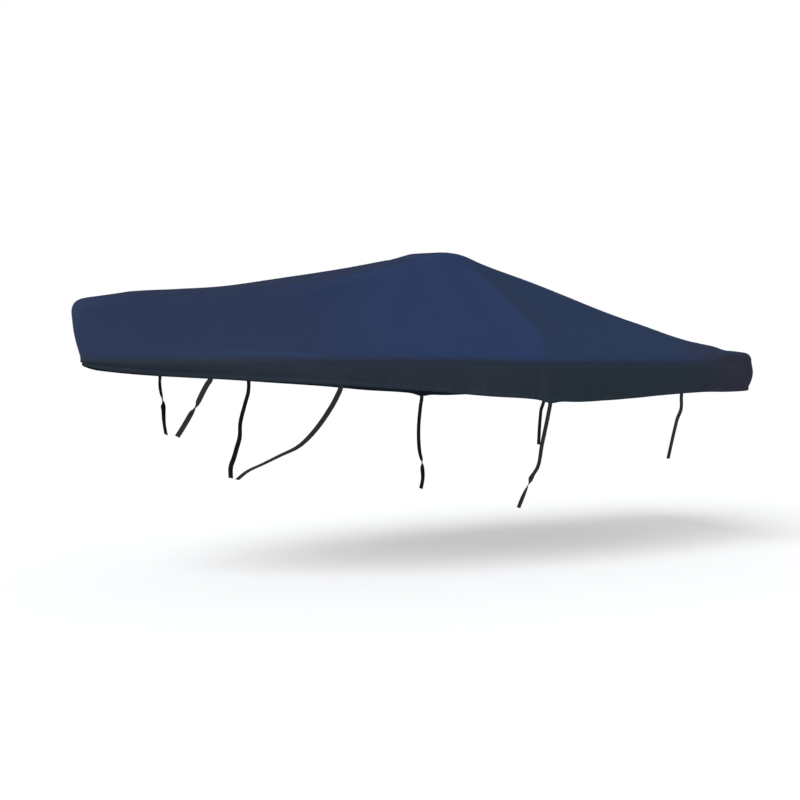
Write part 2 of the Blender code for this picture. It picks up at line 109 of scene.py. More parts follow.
# The top panel above the turn, for the same sections: over a knee and a ridge to the spine.
Crest = namedtuple(
    "Crest",
    "knee_aft knee_out knee_up knee_round ridge_aft ridge_out ridge_up ridge_round"
    " spine_aft spine_up side_sag top_sag",
)
CRESTS = [Crest(*row) for row in (
    (-0.066, 0.000, 0.180, 0.08, -0.092, 0.000, 0.434, 0.11, 0.340, 0.501, 0.000, 0.000),
    (-0.034, 0.080, 0.180, 0.08, -0.062, 0.100, 0.438, 0.11, 0.370, 0.503, 0.000, 0.000),
    (0.056, 0.170, 0.180, 0.08, 0.020, 0.180, 0.446, 0.10, 0.430, 0.508, 0.002, 0.000),
    (0.240, 0.300, 0.150, 0.08, 0.200, 0.270, 0.452, 0.08, 0.520, 0.514, 0.006, 0.000),
    (0.510, 0.460, 0.090, 0.06, 0.500, 0.370, 0.462, 0.10, 0.680, 0.525, 0.010, 0.000),
    (1.030, 0.700, 0.060, 0.08, 1.080, 0.490, 0.508, 0.12, 1.160, 0.572, 0.016, 0.006),
    (1.500, 0.830, 0.070, 0.10, 1.740, 0.470, 0.614, 0.12, 1.780, 0.676, 0.020, 0.012),
    (1.870, 0.890, 0.100, 0.12, 2.360, 0.400, 0.756, 0.10, 2.370, 0.794, 0.004, 0.006),
    (2.390, 0.950, 0.130, 0.12, 2.560, 0.370, 0.799, 0.08, 2.565, 0.823, 0.018, 0.002),
    (2.850, 0.950, 0.150, 0.12, 2.720, 0.350, 0.853, 0.07, 2.720, 0.873, 0.016, 0.000),
    (3.150, 0.935, 0.170, 0.10, 2.870, 0.345, 0.864, 0.06, 2.870, 0.880, 0.020, 0.000),
    (3.410, 0.940, 0.195, 0.06, 3.005, 0.350, 0.847, 0.06, 3.000, 0.866, -0.006, 0.000),
    (3.620, 0.960, 0.130, 0.08, 3.180, 0.362, 0.786, 0.08, 3.180, 0.808, 0.018, 0.006),
    (3.960, 0.960, 0.110, 0.10, 3.700, 0.455, 0.614, 0.10, 3.700, 0.633, 0.018, 0.014),
    (4.620, 0.980, 0.060, 0.06, 4.500, 0.660, 0.331, 0.10, 4.500, 0.343, 0.012, 0.018),
    (5.060, 0.990, 0.040, 0.03, 4.980, 0.830, 0.166, 0.09, 4.980, 0.173, 0.004, 0.012),
    (5.210, 0.955, 0.066, 0.03, 5.190, 0.885, 0.117, 0.05, 5.190, 0.120, 0.000, 0.004),
    (5.390, 0.880, 0.074, 0.03, 5.330, 0.820, 0.078, 0.05, 5.310, 0.084, 0.000, 0.002),
    (5.460, 0.810, 0.074, 0.03, 5.390, 0.750, 0.078, 0.05, 5.350, 0.084, 0.000, 0.002),
    (5.475, 0.740, 0.074, 0.03, 5.400, 0.690, 0.079, 0.05, 5.360, 0.084, 0.000, 0.002),
    (5.485, 0.440, 0.076, 0.03, 5.410, 0.430, 0.082, 0.05, 5.370, 0.086, 0.000, 0.002),
    (5.488, 0.000, 0.077, 0.03, 5.414, 0.000, 0.084, 0.05, 5.374, 0.087, 0.000, 0.000),
)]

HEM_PULL = {"3": 0.020}  # how far a strap pulls the hem down
HEM_PULL_REACH = 0.075  # and how far along the hem to either side
STRAP_BED = 0.023  # half the flat stretch of skirt that a strap is sewn to

WEB_WIDTH = 0.038  # of the straps' webbing
WEB_THICK = 0.0018  # of the solids' webbing
WEB_TUCK = 0.055  # length of each strap behind the skirt, above the hem
WEB_CLEAR = 0.0010  # between the webbing and the skirt it is sewn to
WEB_STRAIGHT = 0.005  # length below the hem before the strap turns towards its route
SOLID_CLOTH = 0.002  # thickness of the solids' cloth, behind which the straps lie
TUCK_READING = 0.72  # part of the skirt's face at which the way up from the channel is read

# Each strap leaves the hem aft of the bow by its first number, and runs by its route to its free end. under
# tips its face downwards, and turn twists it, in degrees.
Route = namedtuple("Route", "aft out up under turn")
STRAPS = {
    "1": (0.735, (
        Route(0.738, 0.578, -0.176, 0.1, 0), Route(0.726, 0.530, -0.225, 0.3, 0),
        Route(0.712, 0.430, -0.318, 0.4, 35), Route(0.700, 0.365, -0.372, 0.5, 140),
        Route(0.672, 0.255, -0.482, 0.5, 180), Route(0.652, 0.140, -0.574, 0.5, 180),
    )),
    "2": (1.616, (
        Route(1.604, 0.890, -0.277, 0.0, 0), Route(1.559, 0.850, -0.379, 0.1, 0),
        Route(1.484, 0.760, -0.527, 0.3, 0), Route(1.425, 0.620, -0.640, 0.7, 0),
        Route(1.340, 0.460, -0.718, 1.2, 0), Route(1.264, 0.320, -0.786, 1.5, 0),
        Route(1.185, 0.180, -0.854, 1.5, 0), Route(1.145, 0.070, -0.923, 1.5, 0),
    )),
    "3": (3.378, (
        Route(3.363, 1.030, -0.430, 0.0, 0), Route(3.325, 1.000, -0.669, 0.0, 0),
        Route(3.312, 0.955, -0.855, 0.1, 0), Route(3.300, 0.900, -0.925, 0.2, 20),
        Route(3.290, 0.868, -0.985, 0.2, 120), Route(3.270, 0.820, -1.090, 0.2, 180),
        Route(3.240, 0.800, -1.181, 0.2, 180),
    )),
    "4": (4.743, (
        Route(4.727, 1.000, -0.430, 0.0, 0), Route(4.699, 0.995, -0.490, 0.0, 0),
        Route(4.681, 0.985, -0.572, 0.0, 0), Route(4.638, 0.950, -0.833, 0.1, 0),
    )),
}

# ---- what only the looks have

CLOTH = 0.0010  # thickness of the shown cloth
TOP_STEP = 0.026  # between two columns of the top panel
SKIRT_STEP = 0.0055  # between two columns of a skirt
RUN_STEPS = (3, 7, 22, 14)  # steps along a section, run by run
ROUND_STEPS = (6, 6, 8)  # steps in each round of a section
FELL = 0.013  # width of the felled seam below the top panel
FELL_RISE = 0.0009  # how far its doubled cloth stands proud
GATHER = 0.0022  # how far the gathers of the hem stand in and out
GATHER_FADE = 0.085  # height above the hem over which they die out
# Unevenness read from smooth noise: length of its features, where in the noise it is read, and its share.
Ripple = namedtuple("Ripple", "length second third share")
GATHER_FINE, GATHER_BROAD = Ripple(0.021, 3.7, 1.2, 1.3), Ripple(0.052, 8.1, 4.4, 1.0)
GATHER_MEAN = 0.75
GATHER_DRIFT = Ripple(1 / 2.7, 0.5, 6.6, 0.6)  # of the gathers' depth along the hem
FADE_DRIFT = Ripple(0.045, 2.2, 9.3, 0.8)  # of the height over which they die out
# Slow unevenness of a skirt: features for each metre along and down, where in the noise, and size.
UNEVEN = ((3.1, 9.0, 4.2, 0.0022), (9.0, 14.0, 1.7, 0.0008))
UNEVEN_START = (0.01, 0.08)  # depths over which it and the creases come in
HEM_FOLD = 0.0011  # between the hem's front and the layer turned up behind it
FELL_EDGE = 0.0015  # over which its cloth rises at either edge
FELL_STITCHES = (0.003, 0.0112)  # depths of its two rows of stitches
STITCH_SINK = 0.4  # how far a row sinks, as a part of the fell's rise
STITCH_SINK_REACH = 0.0012
SEAM_PUCKER = 0.0004  # puckers that its stitches draw
PUCKER_PITCH = 0.019
PUCKER_DRIFT = (2.0, 7.0)  # how far they stray from their pitch, and how often for each metre
PUCKER_DEPTHS = (0.004, 0.012, 0.05)  # where they are whole from, to, and gone
# The top panel's seam allowance, which turns in behind the skirt: how far above the seam and how far in.
ALLOWANCE = ((-0.0060, 0.0014), (0.0002, 0.0013), (0.0013, 0.0))
SEAM_ROWS = (0.0, 0.0015, 0.003, 0.005, 0.0085, 0.0112, 0.013, 0.016)  # depths of the rows across it
SEAM_SHARE = 0.6  # most of a low skirt's face that they take
BODY_STEPS = 12  # rows from there to the hem's channel
CHANNEL_STEPS = 8  # rows of the channel's front
HEM_TURN = (45.0, 90.0, 135.0)  # degrees round the hem's folded edge
CHANNEL_BACK = (0.98, 0.75, 0.5, 0.25, 0.06)  # rows of the layer turned up behind the hem
STITCH = 0.0036  # length of a stitch
STITCH_PITCH = 0.0050
STITCH_WIDTH = 0.0007
STITCH_PROUD = 0.0004
STITCH_RIDGE = 0.28  # half of its upper ridge, as a part of its length
STITCH_START = 0.004  # from the bow to the first
BOX_PITCH = 0.9 * STITCH_PITCH
BOX_LEAST = 3  # stitches on the shortest side of a box
BOX_MARGIN = 0.004  # from a strap's selvedge to the box of stitches that holds it
BOX_REACH = (0.004, 0.024) # lowest and highest stitches of the box, above the hem's channel
WEB_SHOWN = 0.0015  # thickness of the shown webbing
WEB_STEP = 0.008  # between two cross-sections of it
SELVEDGE = 0.0006  # width of its thinner edge
SELVEDGE_THIN = 0.45  # of its thickness, at the edge
WEAVE_PITCH = 0.0012  # of the cloth's plain weave
WEAVE_SHADE = 0.24  # how much lighter and darker its threads are than the cloth
RIB_PITCH = 0.0022  # of the webbing's slanted ribs

# Upright creases of the skirt, by where they start along the edge and how far they lean with depth.
SkirtCrease = namedtuple("SkirtCrease", "aft lean width size")
SKIRT_CREASES = [SkirtCrease(*row) for row in (
    (3.240, 0.10, 0.022, -0.0045),
    (3.330, 0.20, 0.035, 0.0030),
    (1.540, 0.30, 0.045, 0.0022),
    (4.640, 0.35, 0.045, 0.0024),
    (2.300, -0.20, 0.060, -0.0020),
    (4.100, 0.25, 0.060, -0.0022),
)]

# Creases of the top panel, each a line from one point to another by aft and up, seen square to the side.
# size is how far it stands out at its middle, less than 0 for a trough, and width how far it reaches to
# either side.
Crease = namedtuple("Crease", "side aft up aft_end up_end width size")
CREASES = [Crease(*row) for row in (
    # the soft bright fold that runs along the turn, near the bow
    (-1, 0.80, 0.060, 1.60, 0.034, 0.030, 0.0045),
    (-1, 0.95, 0.105, 1.50, 0.085, 0.040, -0.0022),
    # pulls that fall from the peak's corners
    (-1, 2.98, 0.800, 3.35, 0.250, 0.045, 0.0042),
    (-1, 3.38, 0.220, 3.30, 0.010, 0.030, 0.0035),
    (-1, 3.10, 0.760, 3.66, 0.170, 0.080, -0.0022),
    (-1, 2.44, 0.740, 1.90, 0.090, 0.110, 0.0050),
    (-1, 2.60, 0.700, 2.52, 0.160, 0.080, -0.0030),
    (-1, 1.86, 0.600, 1.56, 0.180, 0.090, -0.0030),
    # long pulls down to the stern corner
    (-1, 3.70, 0.520, 5.05, 0.080, 0.050, 0.0026),
    (-1, 3.60, 0.330, 4.70, 0.060, 0.045, -0.0022),
    (1, 0.90, 0.055, 1.75, 0.036, 0.032, 0.0040),
    (1, 2.98, 0.800, 3.36, 0.250, 0.045, 0.0048),
    (1, 3.10, 0.740, 3.70, 0.140, 0.070, -0.0036),
    (1, 2.42, 0.740, 1.98, 0.080, 0.110, 0.0046),
    (1, 2.66, 0.700, 2.58, 0.180, 0.080, -0.0030),
    (1, 1.80, 0.580, 1.46, 0.160, 0.090, -0.0028),
    (1, 3.80, 0.480, 5.00, 0.070, 0.050, 0.0026),
)]

CREASE_PAST = 0.06  # how far a crease runs on past its ends
CREASE_FADE = 0.22  # part of its length over which it comes in and dies out
CREASE_STEEP = (0.86, 0.97)  # upward share of the cloth's normal over which creases give way
CREASE_SIDE = (0.02, 0.16) # from the centre line, where they come in
DENT_RISE = (-0.006, 0.05) # height above the turn over which the dents come in
DENTS = ((0.0010, 0.30, 1), (0.0005, 0.11, 2))  # size, length of features, seed
SEED_STEP = (7.31, 3.17, 5.93)  # from one seed to the next in the noise
MERGE_DIGITS = 6  # decimals of a metre to which two points share a place

# Colours, as linear light.
NAVY = (0.0281, 0.0438, 0.0980, 1.0)
LIT_FACE_NAVY = (0.0285, 0.0514, 0.1318, 1.0)  # painted light: the brighter, bluer face around the peak, ahead of its pulls, which faces the light
AFT_FACE_SHADE_NAVY = (0.0278, 0.0491, 0.1083, 1.0)  # painted shade: the face aft of the pulls that fall from the peak, which turns from the light, darker than the lit face ahead of them
FOLD_HIGHLIGHT_NAVY = (0.0280, 0.0530, 0.1200, 1.0)  # painted highlight along the soft fold near the bow, where the bulging cloth catches the light
CROWN_SHADE_NAVY = (0.0235, 0.0375, 0.0860, 1.0)  # painted shade on top, darker where the cloth faces up and more light falls on it
# painted shade: the skirt is the same cloth as the top panel, made darker and greyer where it hangs upright
SHADED_SKIRT_NAVY = (0.0306, 0.0410, 0.0591, 1.0)
# painted shade: the skirt aft of the third strap, darker still
AFT_SKIRT_SHADE_NAVY = (0.0261, 0.0385, 0.0523, 1.0)
# painted shade: the upright cloth round the stern corner, which faces away from the light
STERN_SHADE_NAVY = (0.0381, 0.0376, 0.0614, 1.0)
TURN_SHADE_NAVY = (0.0285, 0.0375, 0.0540, 1.0)  # painted shade where the panel turns in under itself, above its seam
SKIRT_TOP_LIT_NAVY = (0.0282, 0.0410, 0.0690, 1.0)  # painted light: the skirt just below the seam, lighter and bluer than the painted shade below it
BOW_SKIRT_SHADE = 0.73  # painted shade: the skirt darker towards the bow, against the rest
THREAD = (0.085, 0.098, 0.155, 1.0)
BLACK = (0.020, 0.021, 0.020, 1.0)
DUST = (0.110, 0.110, 0.105, 1.0)
FLOOR = (0.90, 0.90, 0.89, 1.0)

# Where the cloth has those colours of painted light and shade: each range runs from none of a colour to all
# of it.
PULL_LEAN, PULL_TOP = 0.662, 0.026  # the pull from the peak's corner to its knee: x + PULL_LEAN z = PULL_TOP
PULL_BACK, PULL_FOOT = 0.4475, 0.787  # and from there on down: x - PULL_BACK z = PULL_FOOT
PULL_SOFT = (-0.06, 0.05)
LIT_FACE_ALONG = (-1.9, -0.4)
FOLD_LEAN, FOLD_DOWN = 0.0424, 0.9113  # the painted highlight along the soft fold: z + FOLD_LEAN x = -FOLD_DOWN
FOLD_BOW_END, FOLD_AFT_END, FOLD_SOFT = (-2.15, -1.90), (-1.25, -1.55), (0.022, 0.004)
CROWN_LEVEL = (0.84, 0.97)  # by the upward share of the cloth's normal
STERN_WALL_ALONG, STERN_WALL_LEVEL = (1.74, 2.38), (0.96, 0.72)
TURN_DOWN, TURN_AFT, TURN_LOWER = (-0.838, -0.905), (-0.5, 0.6), 0.026
SKIRT_TOP_ALONG, SKIRT_TOP_DOWN = (-2.2, 0.9), (-0.975, -0.915)
BOW_SKIRT_ALONG, AFT_SKIRT_ALONG, STERN_SKIRT_ALONG = (-1.2, -2.6), (0.38, 0.48), (1.96, 2.40)

# Grain of the materials. Each noise is given by its features for each metre, detail and roughness.
CLOUD, CLOUD_SHADES = (1.3, 4.0), (0.93, 1.07)
DUST_NOISE, DUST_SHARE, CLOTH_ROUGHNESS = (11.0, 5.0, 0.65), 0.04, (0.70, 0.82)
CRUMPLE, CRUMPLE_PROUD, WEAVE_PROUD = (26.0, 3.0), 0.0006, 0.00011
RIB_PROUD, RIB_SHADES, CROSS_RIBS = 0.00035, (0.60, 1.6), 0.35
TWIST, TWIST_SHADES = (900.0, 2.0), (0.8, 1.2)
FLOOR_GRAIN, FLOOR_SHADE = (3.0, 3.0), 0.985
NOISE_SPAN = (0.3, 0.7)  # what nearly all of a noise lies between

FLOOR_UP = -2.56  # the floor, under the ends of the straps
FLOOR_HALF = 90.0
SKY_SEEN = (1.0, 1.0, 1.0, 1.0)
SKY_LIGHT = (0.93, 0.98, 1.05, 1.0)
SKY_STRENGTH = 0.30
FLOOR_GLOW = 0.40  # light of the floor itself, for the camera alone, so that it looks near white
GLOW_COLOUR = (1.0, 0.96, 0.93, 1.0)
# name, azimuth, elevation, strength, spread in degrees, colour
LIGHTS = (
    ("key", -62.0, 42.0, 2.1, 40.0, (0.93, 0.97, 1.0)),
)
CAMERA_AT = (-4.96, -8.76, -0.88)
CAMERA_PITCH = 1.93  # degrees below the horizon
CAMERA_YAW = 28.0  # degrees from +Y towards +X
CAMERA_LENS, CAMERA_SENSOR = 54.0, 36.0
CAMERA_FAR = 400.0


# ---- tables to sections, as in the solids

def place(aft, out, up):
    """A point of the port half in the part's frame."""
    return np.array([aft - PEAK_AFT, -out, up - PEAK_UP])


def spline(knots, values, at):
    """Smooth curve through values at the knots, read at each parameter in at."""
    knots, values = np.asarray(knots, float), np.asarray(values, float)
    steps = np.diff(knots)
    slopes = np.diff(values, axis=0) / steps[:, None]
    before, after = steps[:-1, None], steps[1:, None]
    inner = (slopes[:-1] * after + slopes[1:] * before) / (before + after)
    tangents = np.vstack([slopes[:1], inner, slopes[-1:]])
    span = np.clip(np.searchsorted(knots, at, side="right") - 1, 0, len(steps) - 1)
    h = steps[span][:, None]
    t = (at - knots[span])[:, None] / h
    start, end = values[span], values[span + 1]
    return (
        (2 * t**3 - 3 * t**2 + 1) * start + (t**3 - 2 * t**2 + t) * h * tangents[span]
        + (3 * t**2 - 2 * t**3) * end + (t**3 - t**2) * h * tangents[span + 1]
    )


def wave(rows, along, across=0.0):
    return sum(row.size * np.sin(row.along * along + row.across * across + row.phase) for row in rows)


@lru_cache(maxsize=None)
def edge_knots():
    """Distance along the edge from the bow to each row of the tables."""
    return path_lengths(np.array([(edge.aft, edge.out) for edge in EDGES]))


def sections(at):
    """The tables' rows at each distance along the edge.

    The tables go on past both ends as their own mirror."""
    knots = edge_knots()
    fields = Edge._fields + Crest._fields
    table = np.hstack([np.array(EDGES), np.array(CRESTS)])
    outs = [fields.index(name) for name in ("out", "knee_out", "ridge_out")]
    spine = [fields.index(name) for name in ("spine_aft", "spine_up")]
    bow, stern = table[1].copy(), table[-2].copy()
    bow[outs] *= -1
    stern[outs] *= -1
    bow[spine] = 2 * table[0, spine] - table[1, spine]
    stern[spine] = 2 * table[-1, spine] - table[-2, spine]
    all_knots = np.concatenate([[-knots[1]], knots, [2 * knots[-1] - knots[-2]]])
    rows = spline(all_knots, np.vstack([bow, table, stern]), np.asarray(at, float))
    count = len(Edge._fields)
    return [(Edge(*row[:count]), Crest(*row[count:])) for row in rows]


@lru_cache(maxsize=None)
def distance_of(aft):
    """Distance along the edge at which it is this far aft of the bow."""
    at = np.linspace(0.0, edge_knots()[-1], EDGE_READINGS)
    return float(np.interp(aft, [edge.aft for edge, _ in sections(at)], at))


@lru_cache(maxsize=None)
def bed_middles():
    """Distances along the edge of the middle of each strap's bed and of the stern seam's."""
    return [distance_of(aft) for aft in [SEAM_STERN] + [aft for aft, _ in STRAPS.values()]]


def rounded_path(corners, rounds, sags):
    """Points along straight runs between corners, each inner corner rounded over its reach."""
    lengths = [np.linalg.norm(b - a) for a, b in zip(corners, corners[1:])]
    cuts = [0.0]
    for i, reach in enumerate(rounds):
        before = lengths[0] - LIP if i == 0 else ROUND_SHARE * lengths[i]
        cuts.append(min(reach, before, ROUND_SHARE * lengths[i + 1]))
    cuts.append(0.0)
    points = [corners[0]]
    for i, (a, b) in enumerate(zip(corners, corners[1:])):
        along = (b - a) / lengths[i]
        start, end = a + along * cuts[i], b - along * cuts[i + 1]
        for k in range(1, RUN_STEPS[i] + 1):
            t = k / RUN_STEPS[i]
            points.append(start + (end - start) * t - np.array([0.0, 0.0, 4.0 * sags[i] * t * (1.0 - t)]))
        if i < len(rounds):
            leave = b + (corners[i + 2] - b) / lengths[i + 1] * cuts[i + 1]
            for k in range(1, ROUND_STEPS[i] + 1):
                t = k / ROUND_STEPS[i]
                points.append((1 - t) ** 2 * end + 2 * t * (1 - t) * b + t**2 * leave)
    return np.array(points)


def top_section(edge, crest):
    """One section of the top panel from the side seam to the spine."""
    corners = (
        place(edge.aft, edge.out, edge.seam_up + SEAM_GAP / 2),
        place(edge.aft, edge.out, edge.turn_up),
        place(crest.knee_aft, crest.knee_out, crest.knee_up),
        place(crest.ridge_aft, crest.ridge_out, crest.ridge_up),
        place(crest.spine_aft, 0.0, crest.spine_up),
    )
    rounds = (edge.turn_round, crest.knee_round, crest.ridge_round)
    return rounded_path(corners, rounds, (0.0, 0.0, crest.side_sag, crest.top_sag))


def smooth(low, high, at):
    """From 0 at low to 1 at high, with no corner."""
    t = np.clip((np.asarray(at, float) - low) / (high - low), 0.0, 1.0)
    return t * t * (3.0 - 2.0 * t)


def skirt_swing(distance):
    """Sideways swing of the hem, the same all over a bed and blended into the rest past it."""
    swing = SKIRT_WAVE * wave(SKIRT_WAVES, distance)
    for middle in bed_middles():
        bed = 1.0 - smooth(STRAP_BED, 5 * STRAP_BED, abs(distance - middle))
        swing += float(bed) * (SKIRT_WAVE * wave(SKIRT_WAVES, middle) - swing)
    return swing


def outward_at(distance):
    """The level way out from the cover at a distance along the edge."""
    (before, _), (after, _) = sections([distance - NEAR, distance + NEAR])
    along = np.array([after.aft - before.aft, before.out - after.out, 0.0])
    along /= np.linalg.norm(along)
    return np.array([along[1], -along[0], 0.0])


class Skirt:
    """A skirt's section at one distance along the edge: a point of it by depth below the seam."""

    def __init__(self, edge, distance):
        self.edge, self.distance, self.outward = edge, distance, outward_at(distance)
        self.seam = place(edge.aft, edge.out, edge.seam_up - SEAM_GAP / 2)
        pulls = [
            pull * math.exp(-(((distance - distance_of(STRAPS[name][0])) / HEM_PULL_REACH) ** 2))
            for name, pull in HEM_PULL.items()
        ]
        self.height = edge.seam_up - edge.hem_up + sum(pulls)
        self.body = self.height - min(HEM_BAND, CHANNEL_SHARE * self.height)
        self.swing = skirt_swing(distance) * min(1.0, self.height / LOW_SKIRT)

    def inward(self, depth, swell):
        edge = self.edge
        if depth <= LIP:
            return 0.0
        if depth <= self.body:
            part = (depth - LIP) / (self.body - LIP)
            return edge.tuck * part**TUCK_CURVE + self.swing * part**2 - edge.belly * math.sin(math.pi * part)
        part = (depth - self.body) / (self.height - self.body)
        swelled = swell * math.sin(math.pi * min(1.0, part))
        return edge.tuck * (1.0 + CHANNEL_TUCK * part) + self.swing - swelled

    def point(self, depth, proud=0.0, swell=HEM_SWELL):
        return self.seam - np.array([0.0, 0.0, depth]) - self.outward * (self.inward(depth, swell) - proud)


# ---- meshes

def add(name, data):
    """A new object in the scene."""
    obj = bpy.data.objects.new(name, data)
    bpy.context.scene.collection.objects.link(obj)
    return obj


def path_lengths(points):
    """Length of the path up to each of its points. Its points lie along the last axis but one."""
    runs = np.cumsum(np.linalg.norm(np.diff(points, axis=-2), axis=-1), axis=-1)
    return np.concatenate([np.zeros(runs.shape[:-1] + (1,)), runs], axis=-1)


def grid_object(name, grid, uv, closed_on_itself, shift, finish):
    """A sheet from a grid of points, and given its thickness.

    grid is columns by rows by 3, and uv columns by rows by 2. Where it is closed on itself, points that share
    a place become one. shift takes points and their normals, and gives the points' new places."""
    columns, rows = grid.shape[:2]
    flat = grid.reshape(-1, 3)
    keys, index = {}, np.empty(len(flat), int)
    kept = []
    for i, point in enumerate(np.round(flat, MERGE_DIGITS)):
        key = tuple(point) if closed_on_itself else i
        if key not in keys:
            keys[key] = len(kept)
            kept.append(i)
        index[i] = keys[key]
    index = index.reshape(columns, rows)
    faces, corners = [], []
    for c in range(columns - 1):
        for r in range(rows - 1):
            ring = ((c, r), (c + 1, r), (c + 1, r + 1), (c, r + 1))
            face = [index[at] for at in ring]
            if len(set(face)) >= 3:
                unique = [k for k in range(4) if face[k] != face[k - 1]]
                faces.append([face[k] for k in unique])
                corners += [uv[ring[k]] for k in unique]
    mesh = bpy.data.meshes.new(name)
    mesh.from_pydata(flat[kept].tolist(), [], faces)
    layer = mesh.uv_layers.new(name="cloth")
    layer.data.foreach_set("uv", np.array(corners, np.float32).ravel())
    mesh.update()
    if shift:
        normals = np.empty(len(mesh.vertices) * 3, np.float32)
        mesh.vertex_normals.foreach_get("vector", normals)
        moved = shift(flat[kept], normals.reshape(-1, 3).astype(float))
        mesh.vertices.foreach_set("co", moved.astype(np.float32).ravel())
    mesh.materials.append(finish)
    mesh.shade_smooth()
    mesh.update()
    obj = add(name, mesh)
    solid = obj.modifiers.new("thickness", "SOLIDIFY")
    solid.thickness = CLOTH
    solid.offset = 0.0
    solid.use_even_offset = True
    return obj


def rough(points, size, seed):
    """Smooth unevenness between -1 and 1 with features of about this size."""
    offset = Vector(SEED_STEP) * seed
    return np.array([noise.noise(Vector(p) / size + offset) for p in points])


def top_shift(points, normals):
    """Slow swell, the listed creases, and small dents that the weave takes up."""
    x, y, z = points.T
    up = z + PEAK_UP
    aft = x + PEAK_AFT
    rise = np.clip((up - TOP_WAVE_FOOT) / TOP_WAVE_RISE, 0.0, 1.0)
    moved = points.copy()
    moved[:, 2] += TOP_WAVE * rise * np.minimum(1.0, np.abs(x) / TOP_WAVE_REACH) * wave(TOP_WAVES, x, y)
    proud = np.zeros(len(points))
    for crease in CREASES:
        start = np.array([crease.aft, crease.up])
        along = np.array([crease.aft_end, crease.up_end]) - start
        length = np.linalg.norm(along)
        along /= length
        offset = np.column_stack([aft, up]) - start
        run = offset @ along
        away = np.abs(offset @ np.array([-along[1], along[0]]))
        start_fade = smooth(-CREASE_PAST, CREASE_FADE * length, run)
        end_fade = 1.0 - smooth((1.0 - CREASE_FADE) * length, length + CREASE_PAST, run)
        steep = 1.0 - smooth(*CREASE_STEEP, normals[:, 2])
        side = smooth(*CREASE_SIDE, crease.side * y)
        form = crease.size * np.exp(-((away / crease.width) ** 2) * 2.0)
        proud += form * start_fade * end_fade * steep * side
    proud += smooth(*DENT_RISE, up) * sum(size * rough(points, length, seed) for size, length, seed in DENTS)
    return moved + normals * proud[:, None]


def allowance(edge, distance):
    """Rows of the top panel where it turns in behind the skirt, from its cut edge up to its face."""
    seam, outward = place(edge.aft, edge.out, edge.seam_up), outward_at(distance)
    return np.array([seam + np.array([0.0, 0.0, above]) - outward * inward for above, inward in ALLOWANCE])


def top_panel(finish):
    """The whole top panel as one sheet: columns round the edge, rows from the seam to the spine."""
    count = math.ceil(edge_knots()[-1] / TOP_STEP)
    at = np.linspace(0.0, edge_knots()[-1], count + 1)
    port = np.array([
        np.concatenate([allowance(rows[0], distance), top_section(*rows)[1:]])
        for rows, distance in zip(sections(at), at)
    ])
    port[0, :, 1] = port[-1, :, 1] = 0.0
    port[:, -1, 1] = 0.0
    arcs = path_lengths(port)
    share = arcs / arcs[:, -1:]
    along = at[:, None] * (1 - share) + (port[:, :, 0] + PEAK_AFT) * share
    uv = np.stack([along, arcs[:, -1:] - arcs], axis=2)
    starboard = port * np.array([1.0, -1.0, 1.0])
    far_uv = uv * np.array([1.0, -1.0])
    grid = np.concatenate([port, starboard[-2::-1]])
    grid_uv = np.concatenate([uv, far_uv[-2::-1]])
    return grid_object("cover_top", grid, grid_uv, True, top_shift, finish)


def ripple(row, u):
    return row.share * noise.noise(Vector((u / row.length, row.second, row.third)))


def gathers(u):
    """Uneven gathers along the hem, 20 to 60 mm apart."""
    return (GATHER_MEAN + ripple(GATHER_DRIFT, u)) * (ripple(GATHER_FINE, u) + ripple(GATHER_BROAD, u))


def off_beds(u):
    """0 on a strap's bed or the stern seam, 1 away from them."""
    return float(min(smooth(STRAP_BED, 3 * STRAP_BED, abs(u - middle)) for middle in bed_middles()))


def skirt_relief(section, depth):
    """How far the skirt stands out at a depth: its felled seam, its gathered hem and a little unevenness."""
    u = section.distance
    whole, until, gone = PUCKER_DEPTHS
    stray, often = PUCKER_DRIFT
    fell = FELL_RISE * float(smooth(0.0, FELL_EDGE, depth) * (1.0 - smooth(FELL - FELL_EDGE, FELL, depth)))
    rows = max(math.exp(-(((depth - line) / STITCH_SINK_REACH) ** 2)) for line in FELL_STITCHES)
    pucker = math.sin(2 * math.pi * u / PUCKER_PITCH + stray * math.sin(u * often))
    pucker *= float(smooth(0.0, whole, depth) * (1.0 - smooth(until, gone, depth)))
    low = min(1.0, section.height / LOW_SKIRT)
    above = section.body - depth
    fade = GATHER_FADE * low * (1.0 + ripple(FADE_DRIFT, u))
    gathered = (1.0 - float(smooth(0.0, fade, above))) * low
    middle = float(smooth(*UNEVEN_START, depth))
    uneven = sum(
        noise.noise(Vector((u * along, depth * down, third))) * size for along, down, third, size in UNEVEN)
    crease = middle * sum(
        row.size * math.exp(-(((u - distance_of(row.aft) - row.lean * depth) / row.width) ** 2))
        for row in SKIRT_CREASES
    )
    return (
        fell - FELL_RISE * STITCH_SINK * rows + SEAM_PUCKER * pucker
        + off_beds(u) * (GATHER * gathered * gathers(u) + uneven * middle * low) + crease
    )


def skirt_column(section):
    """Rows of one column of a skirt: below the seam, down its face, round the hem and up behind it."""
    depths = [depth * min(1.0, SEAM_SHARE * section.body / SEAM_ROWS[-1]) for depth in SEAM_ROWS]
    last, channel = depths[-1], section.height - section.body
    depths += [last + (section.body - last) * k / BODY_STEPS for k in range(1, BODY_STEPS + 1)]
    depths += [section.body + channel * k / CHANNEL_STEPS for k in range(1, CHANNEL_STEPS + 1)]
    rows = [section.point(depth, skirt_relief(section, depth)) for depth in depths]
    gathered = skirt_relief(section, section.height)
    for angle in HEM_TURN:
        down = HEM_FOLD / 2 * math.sin(math.radians(angle))
        back = HEM_FOLD / 2 * (1 - math.cos(math.radians(angle)))
        rows.append(section.point(section.height + down, gathered - back, 0.0))
    for part in CHANNEL_BACK:
        depth = section.body + channel * part
        rows.append(section.point(depth, skirt_relief(section, depth) - HEM_FOLD, 0.0))
    return np.array(rows)


def skirt_sections(distances):
    return [Skirt(edge, distance) for (edge, _), distance in zip(sections(distances), distances)]


